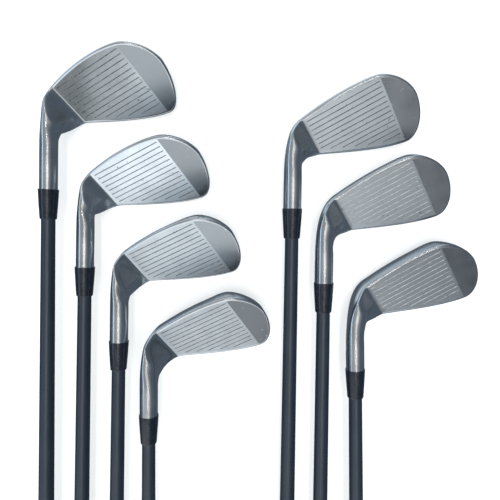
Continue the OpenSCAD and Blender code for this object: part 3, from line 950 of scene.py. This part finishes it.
# --- The row of clubs
clubs = [Club(i, row) for i, row in enumerate(CLUBS)]
chrome = polished_steel("chrome")
dark_groove = groove_fill("groove_dark", 0.6, (0.10, 0.105, 0.11), (0.30, 0.31, 0.32))
bright_groove = groove_fill("groove_bright", 0.0, (0.24, 0.25, 0.26), (0.44, 0.46, 0.48))
ferrule_look, shaft_look = glossy_plastic("ferrule_gloss"), painted_composite("shaft_paint")
grip_look = moulded_rubber("grip_rubber", (0.012, 0.012, 0.014), (0.022, 0.022, 0.025))
cap_look = moulded_rubber("cap_rubber", (0.016, 0.016, 0.018), (0.028, 0.028, 0.03))
plug_look, tape_look = brass("plug_brass"), crepe_tape("tape_crepe")

for club in clubs:
    grooves = bright_groove if club.name in BRIGHT_GROOVES else dark_groove
    # Each club's brightness levels hold painted light as well as the steel's own tone
    face_level, toe_level = STEEL_AND_PAINTED_LIGHT_LEVELS[club.name]
    # Only one club's face gets the painted shade
    shade_slope = club.tilt @ Vector(SHADE_SLOPE) if club.name == SHADED_CLUB else None
    blasted = blasted_steel(club.name + "_face", face_level, shade_slope)
    satin = satin_steel(club.name + "_toe", toe_level)
    pieces = [
        (make_head(club, [chrome, blasted, satin, grooves, satin]), "head", "head_steel"),
        (make_ferrule(club, [ferrule_look]), "ferrule", "ferrule_plastic"),
        (make_shaft(club, [shaft_look]), "shaft", "shaft_composite"),
        (make_grip(club, [grip_look]), "grip", "grip_rubber"),
        (make_cap(club, [cap_look]), "butt_cap", "cap_rubber"),
    ]
    for piece, node, slot in pieces:
        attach(piece, club.name)
        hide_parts(club.name + "_" + node)
    for node, look in (("tip_plug", plug_look), ("grip_tape", tape_look)):
        frame["nodes"][club.name + "_" + node].material_slots[0].material = look

# --- Floor, light and camera
FLOOR_SIZE = 6.0
FLOOR_GAP = 0.0005
floor_mesh = bpy.data.meshes.new("floor")
h = FLOOR_SIZE / 2
floor_mesh.from_pydata([(-h, -h, 0), (h, -h, 0), (h, h, 0), (-h, h, 0)], [], [(0, 1, 2, 3)])
floor_mesh.materials.append(pale_floor("floor_pale"))
floor = bpy.data.objects.new("floor", floor_mesh)
floor.location.z = -FLOOR_GAP
bpy.context.scene.collection.objects.link(floor)
floor.visible_glossy = False


class Studio:
    """Nodes for the light that comes from all round, which changes only with direction."""

    def __init__(self):
        world = bpy.data.worlds.new("studio")
        bpy.context.scene.world = world
        world.use_nodes = True
        self.tree = world.node_tree
        self.sky = self.tree.nodes["Background"]
        self.direction = self.tree.nodes.new("ShaderNodeTexCoord").outputs["Generated"]

    def towards(self, azimuth, elevation):
        """The cosine of each direction's angle from the one given."""
        a, e = math.radians(azimuth), math.radians(elevation)
        node = self.tree.nodes.new("ShaderNodeVectorMath")
        node.operation = "DOT_PRODUCT"
        self.tree.links.new(self.direction, node.inputs[0])
        node.inputs[1].default_value = (math.cos(a) * math.cos(e), math.sin(a) * math.cos(e), math.sin(e))
        return node.outputs["Value"]

    def glow(self, under, color, azimuth, elevation, outer, inner):
        """Fades from the colour under it to a new one between two angles from a direction."""
        fade = self.tree.nodes.new("ShaderNodeMapRange")
        fade.interpolation_type = "SMOOTHSTEP"
        self.tree.links.new(self.towards(azimuth, elevation), fade.inputs["Value"])
        fade.inputs["From Min"].default_value = math.cos(math.radians(outer))
        fade.inputs["From Max"].default_value = math.cos(math.radians(inner))
        mix = self.tree.nodes.new("ShaderNodeMixRGB")
        self.tree.links.new(fade.outputs[0], mix.inputs[0])
        if isinstance(under, bpy.types.NodeSocket):
            self.tree.links.new(under, mix.inputs[1])
        else:
            mix.inputs[1].default_value = (*under, 1)
        mix.inputs[2].default_value = (*color, 1)
        return mix.outputs[0]


studio = Studio()
room = studio.glow((0.10, 0.125, 0.155), (0.36, 0.355, 0.35), 180, 78, 70, 12)
room = studio.glow(room, (0.72, 0.84, 0.94), 110, -6, 64, 22)
room = studio.glow(room, (1.20, 1.26, 1.31), -104, 14, 53, 18)
studio.tree.links.new(room, studio.sky.inputs["Color"])


def softbox(name, at, aim, size, radiance, color, glossy=True):
    """A flat lamp of a given brightness as seen by what it lights."""
    data = bpy.data.lights.new(name, "AREA")
    data.shape = "RECTANGLE"
    data.size, data.size_y = size
    data.energy = radiance * math.pi * size[0] * size[1]
    data.color = color
    light = bpy.data.objects.new(name, data)
    light.location = at
    back = (Vector(at) - Vector(aim)).normalized()
    across = Vector((0, 1, 0)).cross(back).normalized()
    light.rotation_euler = Matrix((across, back.cross(across), back)).transposed().to_euler()
    light.visible_glossy = glossy
    bpy.context.scene.collection.objects.link(light)


softbox("top_fill", (0.0, 0.0, 2.0), (0, 0, 0), (2.4, 2.8), 3.4, (1.0, 1.0, 1.0), glossy=False)
softbox("ceiling_tube", (0.16, 0.3, 2.0), (0.16, 0.3, 0), (0.09, 2.4), 22.0, (1.0, 0.99, 0.97))
softbox("left_window", (-1.5, 0.5, 1.0), (0, 0.5, 0), (0.28, 1.8), 1.6, (0.55, 0.85, 1.15))

SENSOR = 36.0
FOCAL_SHARE = 0.90086
CAMERA_AT = (0.0268, 0.4601, 0.33615)
CAMERA_TILT = 5.05
CAMERA_LEAN = -1.63
camera_data = bpy.data.cameras.new("camera")
camera_data.sensor_width = SENSOR
camera_data.lens = SENSOR * FOCAL_SHARE
camera_data.clip_start = 0.01
camera = bpy.data.objects.new("camera", camera_data)
tilt = Matrix.Rotation(math.radians(CAMERA_TILT), 3, "X")
lean = Matrix.Rotation(math.radians(CAMERA_LEAN), 3, "Y")
camera.matrix_world = Matrix.Translation(CAMERA_AT) @ (tilt @ lean).transposed().to_4x4()
bpy.context.scene.collection.objects.link(camera)
bpy.context.scene.camera = camera
bpy.context.scene.view_settings.view_transform = "Standard"
